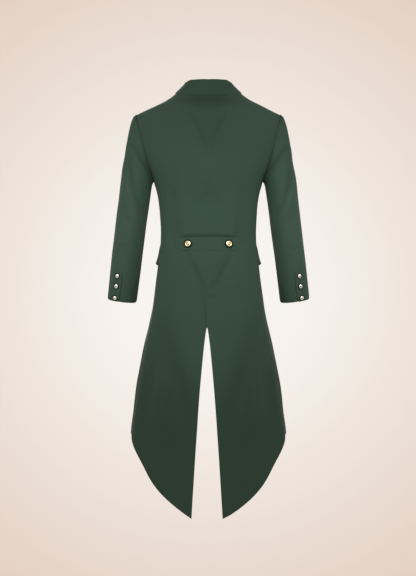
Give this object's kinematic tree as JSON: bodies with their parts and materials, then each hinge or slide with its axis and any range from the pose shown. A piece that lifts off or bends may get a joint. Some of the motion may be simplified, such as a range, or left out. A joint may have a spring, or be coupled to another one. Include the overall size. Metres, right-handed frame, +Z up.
{
  "type": "tailcoat",
  "caption": "Hollow green wool tailcoat with a turned-down collar, half-belt with gilt buttons at the back waist, long pointed tails and buttoned cuffs, in its worn shape.",
  "frame": {"origin": "base of the neck, midway between the shoulders, where the wearer's shoulders hold the coat up", "axes": "+Z up along the wearer's spine, +Y towards the back of the coat, +X towards its left side"},
  "size_m": [0.5984, 0.2844, 1.2875],
  "materials": {
    "green_wool": "matt",
    "gilt": "polished"
  },
  "bodies": {
    "root": {"back": "green_wool", "side_back_left": "green_wool", "side_back_right": "green_wool", "front_left": "green_wool", "front_right": "green_wool", "tail_left": "green_wool", "tail_right": "green_wool", "sleeve_top_left": "green_wool", "sleeve_top_right": "green_wool", "sleeve_under_left": "green_wool", "sleeve_under_right": "green_wool", "collar": "green_wool", "lapel_left": "green_wool", "lapel_right": "green_wool", "flap_left": "green_wool", "flap_right": "green_wool", "half_belt": "green_wool", "back_button_left": "gilt", "back_button_right": "gilt", "cuff_button_left_1": "gilt", "cuff_button_left_2": "gilt", "cuff_button_left_3": "gilt", "cuff_button_right_1": "gilt", "cuff_button_right_2": "gilt", "cuff_button_right_3": "gilt"}
  },
  "joints": []
}
